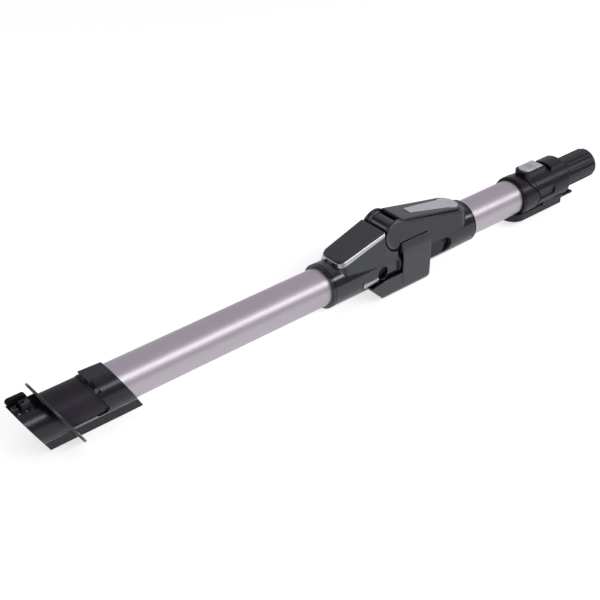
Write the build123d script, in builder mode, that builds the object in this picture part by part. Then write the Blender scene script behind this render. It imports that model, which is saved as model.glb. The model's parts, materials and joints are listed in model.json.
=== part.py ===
from build123d import *
from math import atan, cos, sin, sqrt
import os

# A folding vacuum cleaner tube, in millimetres.
# X runs along the tube towards the spigot, Y is the hinge's direction, Z is up.
# The tube lies flat, so the origin is on the floor under the middle of its length.
# Stations are distances along X from the fold hinge, heights are above the tube's axis.

os.makedirs("parts", exist_ok=True)

# Tubes
tube_radius = 19.0
tube_wall = 1.2
glue_gap = 0.1
lower_tube_start = 320.0
lower_tube_end = 45.0
upper_tube_start = 76.0

# Fold hinge
hinge_height = 32.4
ear_radius = 14.7
ear_gap = 1.3
barrel_radius = 11.5
barrel_gap = 1.3
barrel_half = 11.8
neck_drop = 4.0
washer_radius = 12.3
washer_thickness = 1.2
washer_gap = 0.1
pin_radius = 3.0
pin_half = 15.4
pin_gap = 0.05
press_gap = 0.02
edge_round = 0.8
cut_margin = 1.0

# Housings of the joint
sleeve_radius = 22.5
cavity_radius = 17.6
wall_half = 17.6
wall_draft = 0.135
wall_top = 52.0
wall_foot = 4.0
lower_reach = 83.3
upper_reach = 108.7
arm_parting = 4.5
arm_gap = 0.4
rim_width = 2.4
rim_groove = 0.7

# Sloping cover of the lower arm and its bright trim
cover_high_rise = 9.2
cover_low_drop = 6.0
cover_near = 16.3
cover_far = 70.5
cover_high_half = 15.9
cover_low_half = 13.7
cover_corner = 7.5
cover_thickness = 1.6
cover_gap = 0.15
foot_half = 21.4
trim_high_height = 4.4
trim_low_height = 5.6
trim_reach = 9.0
trim_thickness = 1.3
plate_softening = 0.6
foot_round = 7.0

# Lid, release button and lock of the upper arm
lid_start = 8.5
lid_tangent = 3.2
lid_rise = 14.35
lid_slope = 0.215
lid_thickness = 2.0
lid_gap = 0.1
lid_half = 14.4
lid_softening = 1.0
rim_softening = 1.3
tower_end = 101.5
tower_round = 14.0
button_start = 25.6
button_waist = 72.0
button_centre = 84.7
button_narrow = 5.3
button_wide = 8.6
button_end_radius = 11.3
button_thickness = 2.6
button_proud = 0.5
button_gap = 0.5
button_well = 7.8
dimple_radius = 18.0
dimple_depth = 0.6
pivot_station = 33.0
pivot_depth = 5.2
pivot_radius = 1.5
pivot_half = 7.6
rib_half = 2.6
rib_reach = 5.0
rib_depth = 7.2
pawl_half = 3.0
pawl_level = 3.0
pawl_height = 3.4
pawl_gap = 0.5
pawl_rise = 1.8
notch_depth = 2.2
spring_station = 58.0
spring_radius = 3.0
spring_wire = 0.4
spring_turns = 3
spring_gap = 0.1

# Side slots of the two arms
slot_half = 20.0
slot_top = 6.6
slot_bottom = -10.4
slot_corner = 3.0
lower_slot_start = -47.5
lower_slot_end = 0.4
window_station = -19.3
window_height = -1.6
window_half_width = 5.8
window_half_height = 7.0
bar_start = -45.0
bar_end = -25.4
bar_level = -6.4
bar_height = 4.4
bar_thickness = 0.75
bar_corner = 1.1
upper_slot_start = 36.0
upper_slot_end = 72.4
crescent_width = 7.6
crescent_radius = 7.9

# Guard under the joint
guard_depth = 32.0
guard_half = 24.8
guard_wall = 1.9
guard_corner = 9.0
guard_lip_top = 22.6
guard_lip_wall = 1.0
guard_lip_gap = 0.45
guard_shoulder = 10.5
guard_gap = 0.4
guard_start = -37.5
guard_bow = -18.5
guard_end = 40.7
guard_end_corner = 8.5
scoop_top = -8.5
scoop_tip = -12.0
scoop_end = 3.4
scoop_step = 0.8
guard_bow_round = 18.0
shoulder_round = 30.0
cheek_half = 19.1
cheek_radius = 45.5

# Flexible hose inside the joint
hose_radius = 17.2
hose_wall = 1.2
hose_cuff = 8.0
hose_folds = 8
hose_fold_depth = 2.2

# Socket end
socket_radius = 20.5
socket_waist = 18.0
socket_bore = 16.65
socket_left = 395.5
socket_right = 306.3
slant = 0.525
base_half = 17.0
base_depth = 21.3
flange_station = 368.3
flange_radius = 34.2
flange_drop = 1.5
flange_thickness = 2.6
flange_softening = 0.9
panel_end = 330.8
panel_outer = 18.9
panel_gap = 0.05
panel_rim_width = 1.4
panel_rim_height = 0.5
panel_clip_rise = 6.4
panel_clip_run = 7.0
panel_foot = -11.4
boss_half = 8.0
boss_setback = 2.0
boss_rise = 1.0
boss_slope = 0.05
notch_width = 3.8
notch_reach = 17.0
tray_half = 9.0
tray_floor = 17.6
tray_end = 369.0
wall_block_rise = 26.0
wall_block_setback = 1.5
wall_block_inner = 4.6
wall_block_length = 17.0
wall_block_corner = 3.0
plug_block_half = 3.4
plug_block_centre = 0.8
plug_block_start = 8.0
plug_block_length = 8.0
plug_block_rise = 23.0
plug_slot_half = 1.6
plug_slot_floor = 19.6
keeper_start = 1.2
keeper_length = 4.4
keeper_half = 2.6
keeper_rise = 20.6
contact_radius = 0.8
contact_rise = 18.9
contact_start = 3.4
contact_spread = 6.6

# Spigot end
collar_radius = 21.6
collar_start = 184.7
collar_end = 236.0
collar_tube_end = 226.0
collar_seam = 206.5
seam_width = 0.7
seam_depth = 0.6
mouth_radius = 20.3
mouth_depth = 2.0
ledge_start = 218.0
ledge_half = 19.6
ledge_top = -8.0
ledge_bottom = -14.0
collar_base_half = 18.6
collar_base_depth = 21.6
collar_base_start = 173.0
collar_base_end = 250.0
collar_base_top = -15.6
base_round = 15.0
plate_thickness = 2.2
plate_end = 268.6
plate_gap = 1.2
ring_gap = 0.3
ring_end = 258.0
hump_half = 11.0
hump_rise = 24.6
hump_round = 2.4
spigot_radius = 16.5
spigot_root = 17.3
spigot_bore = 14.4
spigot_end = 310.7
spigot_seat = 228.0
spigot_chamfer = 1.2
flute_start = 266.0
flute_relief = 0.2
flute_depth = 0.5
flute_width = 5.0
flute_count = 8
window_start = 209.0
window_end = 233.5
window_recess = 1.5
window_rise = 15.8
window_foot = -2.5
latch_start = 197.5
latch_end = 227.6
latch_half = 9.6
latch_rise = 27.0
latch_round = 1.5
latch_button_start = 199.3
latch_button_end = 225.3
latch_button_half = 7.4
latch_button_round = 6.0
latch_button_top = 28.4
latch_button_bottom = 23.2
latch_floor = 20.5
latch_gap = 0.3
latch_pocket_radius = 4.2
latch_pocket_top = 26.4
latch_spring_radius = 3.2
latch_spring_turns = 3

# The whole tube is centred on the origin and rests on the guard.
left_reach = socket_left + slant * tray_floor
hinge_x = (left_reach - spigot_end) / 2
axis_height = guard_depth
wide = 2 * (hinge_height + ear_radius) + guard_half

# Sizes that follow from the ones above
cover_high = hinge_height + cover_high_rise
cover_low = hinge_height - cover_low_drop
lid_height = hinge_height + lid_rise
cover_slope = (cover_high - cover_low) / (cover_far - cover_near)
cover_length = sqrt((cover_high - cover_low) ** 2 + (cover_far - cover_near) ** 2)
inner_ear = barrel_half + washer_thickness + 2 * washer_gap
pocket_radius = ear_radius + ear_gap
tunnel_radius = barrel_radius + barrel_gap
lower_end = arm_parting - arm_gap / 2
upper_start = arm_parting + arm_gap / 2
lid_tilt = sqrt(1 + lid_slope**2)
cover_tilt = sqrt(1 + cover_slope**2)
lid_from = (lid_start - lid_tangent) * lid_tilt


def across(station, tilt=0.0):
    """A plane across the tube, local X towards +Y and local Y up, tilted as the socket's ends are."""
    return Plane(origin=(hinge_x + station, 0, axis_height), x_dir=(0, 1, 0), z_dir=(1, 0, tilt))


def side(y=0.0):
    """A plane along the tube, seen from the near side: local X is the station, local Y the height."""
    return Plane(origin=(hinge_x, y, axis_height), x_dir=(1, 0, 0), z_dir=(0, -1, 0))


def level(height):
    """A level plane: local X is the station, local Y is towards +Y."""
    return Plane(origin=(hinge_x, 0, axis_height + height), x_dir=(1, 0, 0), z_dir=(0, 0, 1))


def sloped(station, height, slope, lift=0.0):
    """A plane that rises or falls along the tube, local X along its slope and local Y towards +Y."""
    turn = atan(slope)
    start = (hinge_x + station - sin(turn) * lift, 0, axis_height + height + cos(turn) * lift)
    return Plane(origin=start, x_dir=(cos(turn), 0, sin(turn)), z_dir=(-sin(turn), 0, cos(turn)))


def cover_plane(lift=0.0):
    return sloped(-cover_far, cover_low, cover_slope, lift)


def lid_plane(lift=0.0):
    return sloped(lid_tangent, lid_height, -lid_slope, lift)


def pivot_plane():
    """The upright plane through the button's pivot, square to its axis."""
    return Plane(lid_plane(-pivot_depth).from_local_coords((pivot_station, 0, 0)), z_dir=(0, 1, 0))


def wall_at(height):
    """Half the width of the joint's drafted walls at a height."""
    return wall_half + wall_draft * (hinge_height - height)


def lid_at(station):
    """Height of the lid's top at a station."""
    return lid_height - lid_slope * (station - lid_tangent)


def rib_face(height):
    """Station of the left face of the button's rib at a height."""
    foot = lid_plane(-pivot_depth).from_local_coords((pivot_station - rib_reach, 0, 0))
    return foot.X - hinge_x + lid_slope * (height + axis_height - foot.Z)


def wall_section(low_half, high_half):
    """The section of a joint's tower: a trapezium from the wall's foot to its top."""
    Polygon(
        (-low_half, wall_foot),
        (low_half, wall_foot),
        (high_half, wall_top),
        (-high_half, wall_top),
        align=None,
    )


def both_sides(y):
    """Pairs of side planes at +Y and -Y with the sign of an outward extrusion."""
    return [(side(-y), 1), (side(y), -1)]


def cover_outline(inset, stretch=0.0):
    """The cover's outline on its plane, with the low end rounded, stretched past the high end."""
    taper = (cover_high_half - cover_low_half) / cover_length
    low = cover_low_half - inset
    high = cover_high_half - inset + taper * stretch
    Polygon(
        (inset, -low),
        (cover_length + stretch, -high),
        (cover_length + stretch, high),
        (inset, low),
        align=None,
    )


def button_outline(border=0.0):
    """The release button's outline on the lid's plane: a wedge that ends in a round."""
    Polygon(
        (button_start - border, -button_narrow - border),
        (button_waist, -button_wide - border),
        (button_centre, -button_wide - border),
        (button_centre, button_wide + border),
        (button_waist, button_wide + border),
        (button_start - border, button_narrow + border),
        align=None,
    )
    with Locations((button_centre, 0)):
        Circle(button_end_radius + border)


def tube(first, last):
    with BuildPart() as length:
        with BuildSketch(across(first)):
            Circle(tube_radius)
            Circle(tube_radius - tube_wall, mode=Mode.SUBTRACT)
        extrude(amount=last - first)
    return length


def coil(plane, radius, wire, length, turns):
    """A round coil spring that stands on a plane."""
    with BuildPart() as spring:
        rise = length - 2 * wire
        with BuildLine():
            path = Helix(rise / turns, rise, radius, center=plane.origin, direction=plane.z_dir)
        with BuildSketch(Plane(origin=path @ 0, z_dir=path % 0)):
            Circle(wire)
        sweep(path=path, is_frenet=True)
    return spring


def finish(builder, name):
    builder.part.label = name
    export_step(builder.part, "parts/" + name + ".step")


# The two lengths of drawn aluminium tube
lower_tube = tube(-lower_tube_start, -lower_tube_end)
finish(lower_tube, "lower_tube")
upper_tube = tube(upper_tube_start, collar_tube_end)
finish(upper_tube, "upper_tube")

# Room for the trim: all that lies outside the cover's seat and above the trim's foot
trim_slope = (cover_high - trim_high_height - cover_low + trim_low_height) / (cover_far - cover_near)
trim_seat = sloped(-cover_far, cover_low - trim_low_height, trim_slope)
with BuildPart() as trim_room:
    with BuildSketch(cover_plane(-trim_reach)):
        Rectangle(2 * wide, wide)
        with BuildSketch(mode=Mode.SUBTRACT):
            cover_outline(trim_thickness + cover_gap, cover_near)
            fillet(vertices().group_by(Axis.X)[0], cover_corner - trim_thickness)
    extrude(amount=wide)
    split(bisect_by=trim_seat, keep=Keep.TOP)

with BuildPart() as cover_trim:
    with BuildSketch(cover_plane(-trim_reach)):
        cover_outline(0.0)
        fillet(vertices().group_by(Axis.X)[0], cover_corner)
        with BuildSketch(mode=Mode.SUBTRACT):
            cover_outline(trim_thickness, cover_near)
            fillet(vertices().group_by(Axis.X)[0], cover_corner - trim_thickness)
    extrude(amount=trim_reach - cover_thickness)
    split(bisect_by=trim_seat, keep=Keep.TOP)
finish(cover_trim, "cover_trim")

with BuildPart() as cover_plate:
    with BuildSketch(cover_plane(-cover_thickness)):
        cover_outline(0.0)
        fillet(vertices().group_by(Axis.X)[0], cover_corner)
    extrude(amount=cover_thickness)
    plate_top = faces().group_by(SortBy.AREA)[-1].sort_by(Axis.Z)[-1]
    fillet(plate_top.edges(), plate_softening)
finish(cover_plate, "cover_plate")

# Lower arm: a sleeve on the tube with a sloping tower that ends in the hinge barrel
with BuildPart() as lower_arm:
    with BuildSketch(across(-cover_near)):
        wall_section(wall_at(wall_foot), wall_at(wall_top))
    extrude(amount=cover_near)
    low_lean = (foot_half - cover_low_half) / (cover_low - wall_foot)
    with BuildSketch(across(-cover_far)):
        wall_section(foot_half, cover_low_half - low_lean * (wall_top - cover_low))
    with BuildSketch(across(-cover_near)):
        wall_section(wall_at(wall_foot), wall_at(wall_top))
    loft(ruled=True)
    with BuildSketch(side()):
        with BuildLine():
            Polyline(
                (-cover_far, 0),
                (-cover_far, cover_low - cover_thickness * cover_tilt),
                (-cover_near, cover_high - cover_thickness * cover_tilt),
                (-cover_near, hinge_height - neck_drop),
                (0, hinge_height - neck_drop),
                (0, 0),
                close=True,
            )
        make_face()
    extrude(amount=wide, both=True, mode=Mode.INTERSECT)
    low_corners = faces().sort_by(Axis.X)[0].edges().filter_by(Axis.Y, reverse=True)
    fillet(low_corners, foot_round)
    add(trim_room.part, mode=Mode.SUBTRACT)
    with BuildSketch(across(-lower_reach)):
        Circle(sleeve_radius)
    extrude(amount=lower_reach + lower_end)
    add(cover_trim.part, mode=Mode.SUBTRACT)
    # round pockets that the ears of the other arm turn in
    with BuildSketch(side()):
        with Locations((0, hinge_height)):
            Circle(pocket_radius)
    extrude(amount=wide, both=True, mode=Mode.SUBTRACT)
    with BuildSketch(side()):
        with Locations((0, hinge_height)):
            Circle(barrel_radius)
        with BuildLine():
            Polyline(
                (-pocket_radius - cut_margin, cavity_radius + cut_margin),
                (-pocket_radius - cut_margin, hinge_height - neck_drop),
                (0, hinge_height - neck_drop),
                (0, cavity_radius + cut_margin),
                close=True,
            )
        make_face()
    extrude(amount=barrel_half, both=True)
    # notch in the barrel under the lock's nose
    with BuildSketch(side()):
        with Locations((barrel_radius, hinge_height + pawl_level)):
            Rectangle(2 * notch_depth, pawl_height + 2 * pawl_gap)
    extrude(amount=pawl_half + pawl_gap, both=True, mode=Mode.SUBTRACT)
    # groove behind the rim at the tube
    with BuildSketch(across(-lower_reach + rim_width / 2)):
        Circle(sleeve_radius + cut_margin)
        Circle(sleeve_radius - rim_groove, mode=Mode.SUBTRACT)
    extrude(amount=rim_width / 2, mode=Mode.SUBTRACT)
    # flat-bottomed slots, each with a window through to the hose
    for plane, outward in both_sides(slot_half):
        with BuildSketch(plane):
            with BuildLine():
                Polyline(
                    (lower_slot_start, slot_bottom),
                    (lower_slot_end, slot_bottom),
                    (lower_slot_end, slot_top),
                    (lower_slot_start, slot_top),
                    close=True,
                )
            make_face()
        extrude(amount=outward * wide, mode=Mode.SUBTRACT)
    with BuildSketch(side()):
        with Locations((window_station, window_height)):
            Ellipse(window_half_width, window_half_height)
    extrude(amount=wide, both=True, mode=Mode.SUBTRACT)
    # bores for the tube, the hose and the hinge pin
    with BuildSketch(across(-lower_reach)):
        Circle(tube_radius + glue_gap)
    extrude(amount=lower_reach - lower_tube_end, mode=Mode.SUBTRACT)
    with BuildSketch(across(-lower_tube_end)):
        Circle(cavity_radius)
    extrude(amount=lower_tube_end + upper_start, mode=Mode.SUBTRACT)
    with BuildSketch(side()):
        with Locations((0, hinge_height)):
            Circle(pin_radius + pin_gap)
    extrude(amount=wide, both=True, mode=Mode.SUBTRACT)
finish(lower_arm, "lower_arm")

with BuildPart() as guide_bars:
    for plane, outward in both_sides(slot_half):
        with BuildSketch(plane):
            with Locations(((bar_start + bar_end) / 2, bar_level)):
                Rectangle(bar_end - bar_start, bar_height)
            fillet(vertices(), bar_corner)
        extrude(amount=outward * bar_thickness)
finish(guide_bars, "guide_bars")

# Hinge pin and the washers beside the barrel
with BuildPart() as hinge_pin:
    with BuildSketch(side()):
        with Locations((0, hinge_height)):
            Circle(pin_radius)
    extrude(amount=pin_half, both=True)
finish(hinge_pin, "hinge_pin")

with BuildPart() as hinge_washers:
    for plane, outward in both_sides(barrel_half + washer_gap):
        with BuildSketch(plane):
            with Locations((0, hinge_height)):
                Circle(washer_radius)
                Circle(pin_radius + pin_gap, mode=Mode.SUBTRACT)
        extrude(amount=outward * washer_thickness)
finish(hinge_washers, "hinge_washers")

# Upper arm: two ears round the barrel, a tower with the button's well, and the sleeve
with BuildPart() as upper_arm:
    with BuildSketch(across(-ear_radius)):
        wall_section(wall_at(wall_foot), wall_at(wall_top))
    extrude(amount=ear_radius + tower_end)
    tower_ends = edges().filter_by(GeomType.LINE).group_by(Axis.X)[-1].filter_by(Axis.Y, reverse=True)
    fillet(tower_ends, tower_round)
    with BuildSketch(side()):
        with Locations((0, hinge_height)):
            Circle(ear_radius)
        with BuildLine():
            Polyline(
                (upper_start, 0),
                (upper_start, lid_at(upper_start) - lid_thickness * lid_tilt),
                (tower_end, lid_at(tower_end) - lid_thickness * lid_tilt),
                (tower_end, 0),
                close=True,
            )
        make_face()
    extrude(amount=wide, both=True, mode=Mode.INTERSECT)
    with BuildSketch(across(upper_start)):
        Circle(sleeve_radius)
    extrude(amount=upper_reach - upper_start)
    with BuildSketch(lid_plane(-lid_thickness)):
        with Locations((lid_from - lid_gap + wide / 2, 0)):
            Rectangle(wide, wide)
    extrude(amount=wide, mode=Mode.SUBTRACT)
    rims = edges().filter_by(GeomType.LINE).filter_by(lambda edge: edge.length > lid_half)
    rims = rims.filter_by(lambda edge: edge.center().Z > axis_height + sleeve_radius)
    fillet(rims.filter_by(lambda edge: abs(edge.center().Y) > lid_half), rim_softening)
    # room between the ears for the barrel and its neck
    with BuildSketch(side()):
        with Locations((0, hinge_height)):
            Circle(tunnel_radius)
        with BuildLine():
            Polyline(
                (-pocket_radius, 0),
                (0, 0),
                (0, hinge_height),
                (lid_start, hinge_height),
                (lid_start, wall_top),
                (-pocket_radius, wall_top),
                close=True,
            )
        make_face()
    extrude(amount=inner_ear, both=True, mode=Mode.SUBTRACT)
    # flat cheeks that the guard's lips pass over
    for plane, outward in both_sides(cheek_half):
        with BuildSketch(plane):
            with Locations((0, hinge_height)):
                Circle(cheek_radius)
        extrude(amount=outward * wide, mode=Mode.SUBTRACT)
    # the button's well and the lock's passage
    with BuildSketch(lid_plane(-button_well)):
        button_outline(button_gap)
    extrude(amount=wide, mode=Mode.SUBTRACT)
    with BuildSketch(side()):
        with BuildLine():
            passage_low = hinge_height + pawl_level - pawl_height / 2 - pawl_gap
            Polyline(
                (0, passage_low),
                (pivot_station, passage_low),
                (pivot_station, passage_low + pawl_height + 2 * pawl_gap + pawl_rise),
                (0, passage_low + pawl_height + 2 * pawl_gap + pawl_rise),
                close=True,
            )
        make_face()
    extrude(amount=pawl_half + pawl_gap, both=True, mode=Mode.SUBTRACT)
    with BuildSketch(pivot_plane()):
        Circle(pivot_radius + press_gap)
    extrude(amount=pivot_half, both=True, mode=Mode.SUBTRACT)
    # groove behind the rim at the tube
    with BuildSketch(across(upper_reach - rim_width)):
        Circle(sleeve_radius + cut_margin)
        Circle(sleeve_radius - rim_groove, mode=Mode.SUBTRACT)
    extrude(amount=rim_width / 2, mode=Mode.SUBTRACT)
    # slots with a crescent opening at their far end
    slot_rise = (slot_top - slot_bottom) / 2
    for plane, outward in both_sides(slot_half):
        with BuildSketch(plane):
            with BuildLine():
                Polyline(
                    (upper_slot_start, slot_bottom),
                    (upper_slot_end - slot_rise, slot_bottom),
                    (upper_slot_end - slot_rise, slot_top),
                    (upper_slot_start, slot_top),
                    close=True,
                )
            make_face()
            with Locations((upper_slot_end - slot_rise, slot_bottom + slot_rise)):
                Circle(slot_rise)
        extrude(amount=outward * wide, mode=Mode.SUBTRACT)
    with BuildSketch(side()):
        with Locations((upper_slot_end - slot_rise, slot_bottom + slot_rise)):
            Circle(crescent_radius)
        with Locations((upper_slot_end - slot_rise - crescent_width, slot_bottom + slot_rise)):
            Circle(crescent_radius, mode=Mode.SUBTRACT)
    extrude(amount=wide, both=True, mode=Mode.SUBTRACT)
    # bores for the tube, the hose and the hinge pin
    with BuildSketch(across(upper_tube_start)):
        Circle(tube_radius + glue_gap)
    extrude(amount=upper_reach - upper_tube_start, mode=Mode.SUBTRACT)
    with BuildSketch(across(0)):
        Circle(cavity_radius)
    extrude(amount=upper_tube_start, mode=Mode.SUBTRACT)
    with BuildSketch(side()):
        with Locations((0, hinge_height)):
            Circle(pin_radius + press_gap)
    extrude(amount=pin_half + press_gap, both=True, mode=Mode.SUBTRACT)
finish(upper_arm, "upper_arm")

with BuildPart() as upper_lid:
    with BuildSketch(lid_plane(-lid_thickness)):
        with BuildLine():
            Polyline(
                (lid_from, -lid_half),
                (button_centre, -lid_half),
                (button_centre, lid_half),
                (lid_from, lid_half),
                close=True,
            )
        make_face()
        with Locations((button_centre, 0)):
            Circle(lid_half)
    extrude(amount=lid_thickness)
    lid_top = faces().group_by(SortBy.AREA)[-1].sort_by(Axis.Z)[-1]
    fillet(lid_top.edges(), lid_softening)
    with BuildSketch(lid_plane(-lid_thickness)):
        button_outline(button_gap)
    extrude(amount=lid_thickness, mode=Mode.SUBTRACT)
finish(upper_lid, "upper_lid")

with BuildPart() as fold_button:
    with BuildSketch(lid_plane(button_proud - button_thickness)):
        button_outline()
    extrude(amount=button_thickness)
    with BuildSketch(lid_plane(-rib_depth)):
        with Locations((pivot_station, 0)):
            Rectangle(2 * rib_reach, 2 * rib_half)
    extrude(amount=rib_depth)
    with BuildSketch(pivot_plane()):
        Circle(pivot_radius + pin_gap)
    extrude(amount=wide, both=True, mode=Mode.SUBTRACT)
    dimple = lid_plane(button_proud + dimple_radius - dimple_depth)
    with Locations(dimple.from_local_coords((button_centre, 0, 0))):
        Sphere(dimple_radius, mode=Mode.SUBTRACT)
finish(fold_button, "fold_button")

with BuildPart() as button_pin:
    with BuildSketch(pivot_plane()):
        Circle(pivot_radius)
    extrude(amount=pivot_half - press_gap, both=True)
finish(button_pin, "button_pin")

with BuildPart() as lock_pawl:
    with BuildSketch(side()):
        with BuildLine():
            pawl_low = hinge_height + pawl_level - pawl_height / 2
            Polyline(
                (barrel_radius + pawl_gap, pawl_low),
                (rib_face(pawl_low), pawl_low),
                (rib_face(pawl_low + pawl_height), pawl_low + pawl_height),
                (barrel_radius + pawl_gap, pawl_low + pawl_height),
                close=True,
            )
        make_face()
    extrude(amount=pawl_half, both=True)
finish(lock_pawl, "lock_pawl")

fold_spring_length = button_well + button_proud - button_thickness - 2 * spring_gap
fold_spring_seat = Plane(
    lid_plane(spring_gap + spring_wire - button_well).from_local_coords((spring_station, 0, 0)),
    x_dir=lid_plane().x_dir,
    z_dir=lid_plane().z_dir,
)
fold_spring = coil(fold_spring_seat, spring_radius, spring_wire, fold_spring_length, spring_turns)
finish(fold_spring, "fold_spring")

# Guard: a boat-shaped saddle that covers the opening under the joint
lip_in = wall_at(guard_lip_top) + guard_lip_gap
clear_radius = sleeve_radius + guard_gap
guard_inner_half = guard_half - guard_wall
with BuildPart() as guard_room:
    with BuildSketch(across(guard_start)):
        with BuildLine():
            Polyline(
                (-lip_in, wide),
                (-lip_in, guard_lip_top),
                (-guard_inner_half, guard_shoulder),
                (-guard_inner_half, guard_wall - guard_depth),
                (guard_inner_half, guard_wall - guard_depth),
                (guard_inner_half, guard_shoulder),
                (lip_in, guard_lip_top),
                (lip_in, wide),
                close=True,
            )
        make_face()
        fillet(vertices().group_by(Axis.Y)[1], shoulder_round - guard_wall)
        fillet(vertices().group_by(Axis.Y)[0], guard_corner - guard_wall)
    extrude(amount=guard_end - guard_start)
    with BuildSketch(side()):
        with BuildLine():
            Polyline(
                (guard_start + guard_wall, wide),
                (guard_start + guard_wall, scoop_tip),
                (guard_bow, guard_wall - guard_depth),
                (guard_end - guard_wall, guard_wall - guard_depth),
                (guard_end - guard_wall, -sleeve_radius),
                (guard_end, -sleeve_radius),
                (guard_end, wide),
                close=True,
            )
        make_face()
        fillet(vertices().group_by(Axis.Y)[0].sort_by(Axis.X)[0], guard_bow_round - guard_wall)
    extrude(amount=wide, both=True, mode=Mode.INTERSECT)
    with BuildSketch(across(guard_start)):
        Circle(clear_radius)
    extrude(amount=guard_end - guard_start)

with BuildPart() as guard:
    with BuildSketch(across(guard_start)):
        with BuildLine():
            Polyline(
                (-lip_in - guard_lip_wall, guard_lip_top),
                (-guard_half, guard_shoulder),
                (-guard_half, -guard_depth),
                (guard_half, -guard_depth),
                (guard_half, guard_shoulder),
                (lip_in + guard_lip_wall, guard_lip_top),
                close=True,
            )
        make_face()
        fillet(vertices().group_by(Axis.Y)[1], shoulder_round)
        fillet(vertices().group_by(Axis.Y)[0], guard_corner)
    extrude(amount=guard_end - guard_start)
    with BuildSketch(side()):
        with BuildLine():
            Polyline(
                (guard_start, scoop_tip),
                (guard_bow, -guard_depth),
                (guard_end, -guard_depth),
                (guard_end, guard_lip_top),
                (scoop_end, guard_lip_top),
                (scoop_end, scoop_top),
                (guard_bow, scoop_top),
                close=True,
            )
        make_face()
        floor_corners = vertices().group_by(Axis.Y)[0].sort_by(Axis.X)
        fillet(floor_corners[0], guard_bow_round)
        floor_corners = vertices().group_by(Axis.Y)[0].sort_by(Axis.X)
        fillet(floor_corners[-1], guard_end_corner)
    extrude(amount=wide, both=True, mode=Mode.INTERSECT)
    # the sides step in under the scoop, and the step fades towards the floor
    for outward in (-1, 1):
        with BuildSketch(across(guard_start)):
            Polygon(
                (outward * (guard_half - scoop_step), scoop_top),
                (outward * wide, scoop_top),
                (outward * wide, guard_corner - guard_depth),
                (outward * guard_half, guard_corner - guard_depth),
                align=None,
            )
        extrude(amount=scoop_end - guard_start, mode=Mode.SUBTRACT)
    add(guard_room.part, mode=Mode.SUBTRACT)
finish(guard, "guard")

# Flexible hose: two cuffs with folds between them
with BuildPart() as flexible_hose:
    hose_first = -lower_tube_end + glue_gap
    hose_last = upper_tube_start - glue_gap
    fold_pitch = (hose_last - hose_first - 2 * hose_cuff) / hose_folds
    outer_line = [(hose_first, hose_radius), (hose_first + hose_cuff, hose_radius)]
    for fold in range(hose_folds):
        start = hose_first + hose_cuff + fold * fold_pitch
        outer_line.append((start + fold_pitch / 2, hose_radius - hose_fold_depth))
        outer_line.append((start + fold_pitch, hose_radius))
    outer_line.append((hose_last, hose_radius))
    inner_line = [(x, r - hose_wall) for x, r in reversed(outer_line)]
    with BuildSketch(side()):
        with BuildLine():
            Polyline(outer_line + inner_line, close=True)
        make_face()
    revolve(axis=Axis((hinge_x, 0, axis_height), (1, 0, 0)))
finish(flexible_hose, "flexible_hose")

# Socket end: a squared sleeve cut on the slant at both ends, with a waist for the grip panel
left_cut = across(-socket_left, slant)
right_cut = across(-socket_right, slant)
panel_left = across(-flange_station + flange_thickness / 2, slant)
panel_right = across(-panel_end, slant)
run_out = 40.0

with BuildPart() as panel_clip:
    clip_corner = -panel_end - slant * panel_foot
    with BuildSketch(side()):
        Polygon(
            (clip_corner + slant * panel_clip_rise, panel_foot - panel_clip_rise),
            (clip_corner - slant * panel_clip_rise, panel_foot + panel_clip_rise),
            (clip_corner - panel_clip_run, panel_foot),
            (clip_corner - panel_clip_run, panel_foot - panel_clip_rise),
            align=None,
        )
    extrude(amount=wide, both=True)

with BuildPart() as panel_room:
    with BuildSketch(across(-flange_station - run_out)):
        Circle(wide)
        Circle(socket_waist, mode=Mode.SUBTRACT)
        with Locations((0, panel_foot - wide)):
            Rectangle(2 * wide, 2 * wide, mode=Mode.SUBTRACT)
    extrude(amount=flange_station - panel_end + 2 * run_out)
    split(bisect_by=panel_left, keep=Keep.TOP)
    split(bisect_by=panel_right, keep=Keep.BOTTOM)
    add(panel_clip.part, mode=Mode.SUBTRACT)

with BuildPart() as boss:
    with BuildSketch(sloped(-panel_end, tube_radius, -boss_slope)):
        Rectangle(2 * (panel_end - socket_right + run_out), 2 * boss_half)
    extrude(amount=socket_radius + boss_rise - tube_radius)
    split(bisect_by=panel_right.offset(boss_setback), keep=Keep.TOP)
    fillet(edges().filter_by(GeomType.LINE).group_by(Axis.Z)[-1], boss_rise / 2)

with BuildPart() as socket_housing:
    with BuildSketch(across(-socket_left - run_out)):
        Circle(socket_radius)
        with Locations((0, -base_depth / 2)):
            Rectangle(2 * base_half, base_depth)
    extrude(amount=socket_left - socket_right + 2 * run_out)
    add(boss.part)
    # bores for the mating spigot and for the tube
    with BuildSketch(across(-socket_left - run_out)):
        Circle(socket_bore)
    extrude(amount=socket_left + run_out - lower_tube_start - glue_gap, mode=Mode.SUBTRACT)
    with BuildSketch(across(-lower_tube_start - glue_gap)):
        Circle(tube_radius + glue_gap)
    extrude(amount=lower_tube_start, mode=Mode.SUBTRACT)
    split(bisect_by=left_cut, keep=Keep.TOP)
    split(bisect_by=right_cut, keep=Keep.BOTTOM)
    add(panel_room.part, mode=Mode.SUBTRACT)
    # the dark notches beside the boss
    with BuildSketch(panel_right):
        Rectangle(2 * notch_reach, 4 * socket_radius)
        Circle(socket_waist, mode=Mode.SUBTRACT)
        Rectangle(2 * boss_half, 4 * socket_radius, mode=Mode.SUBTRACT)
        with Locations((0, panel_foot - wide)):
            Rectangle(2 * wide, 2 * wide, mode=Mode.SUBTRACT)
    extrude(amount=notch_width, mode=Mode.SUBTRACT)
    # the open tray at the end for the contacts
    with BuildSketch(level(tray_floor)):
        with Locations((-tray_end - run_out, 0)):
            Rectangle(2 * run_out, 2 * tray_half)
    extrude(amount=wide, mode=Mode.SUBTRACT)
finish(socket_housing, "socket_housing")

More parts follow.
